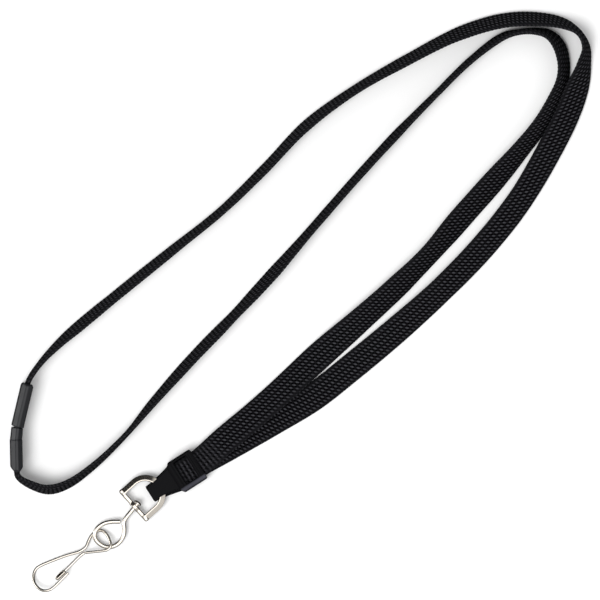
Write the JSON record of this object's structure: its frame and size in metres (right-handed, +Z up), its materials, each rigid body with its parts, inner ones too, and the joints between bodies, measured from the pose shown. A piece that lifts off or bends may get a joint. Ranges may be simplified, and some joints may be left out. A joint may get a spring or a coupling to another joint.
{
  "type": "badge lanyard",
  "caption": "Flat braided neck lanyard with a breakaway connector, a moulded strap clamp, and a swivelling wire J-hook on a D-ring.",
  "frame": {"origin": "middle of the bounding box of the whole lanyard as it lies, at the level of the surface it lies on", "axes": "+Z up from the surface; +X along the longest way of the lying lanyard, from the hook towards the far bend of the strap; +Y across it, towards the side of the breakaway connector"},
  "size_m": [0.264, 0.0848, 0.0119],
  "materials": {
    "braid": "black polyester tubular braid, pressed flat",
    "clamp_plastic": "satin black moulded plastic",
    "connector_plastic": "satin black moulded plastic",
    "plated_ring": "bright nickel plating",
    "plated_wire": "bright nickel plated steel wire"
  },
  "bodies": {
    "root": {"strap_outer": "braid", "strap_inner": "braid", "clamp_base": "clamp_plastic", "clamp_cover": "clamp_plastic", "breakaway_socket": "connector_plastic"},
    "ring": {"d_ring": "plated_ring"},
    "eye": {"swivel_eye": "plated_wire"},
    "hook": {"hook_wire": "plated_wire"},
    "gate": {"hook_gate": "plated_wire"},
    "plug": {"breakaway_plug": "connector_plastic"}
  },
  "joints": [
    {"name": "ring_swing", "type": "hinge", "parent": "root", "child": "ring", "pos_m": [-0.07795, -0.0166, 0.0034], "axis": [0.0541, 0.9985, 0], "range_deg": [-19, 30]},
    {"name": "eye_swivel", "type": "hinge", "parent": "ring", "child": "eye", "pos_m": [-0.08895, -0.01655, 0.0029], "axis": [-0.9917, -0.12, -0.0454], "continuous": true},
    {"name": "hook_swing", "type": "hinge", "parent": "eye", "child": "hook", "pos_m": [-0.10463, -0.01671, 0.00219], "axis": [-0.0075, 1, 0.0051], "range_deg": [-28, 37]},
    {"name": "gate_flex", "type": "hinge", "parent": "hook", "child": "gate", "pos_m": [-0.11208, -0.01559, 0.00261], "axis": [-0.0977, -0.4279, -0.8985], "range_deg": [0, 14], "stiffness_Nm_per_rad": 0.03},
    {"name": "breakaway_pull", "type": "slide", "parent": "root", "child": "plug", "axis": [-0.8508, -0.5255, 0], "range_m": [0, 0.01], "deforming": ["strap_inner"]}
  ]
}
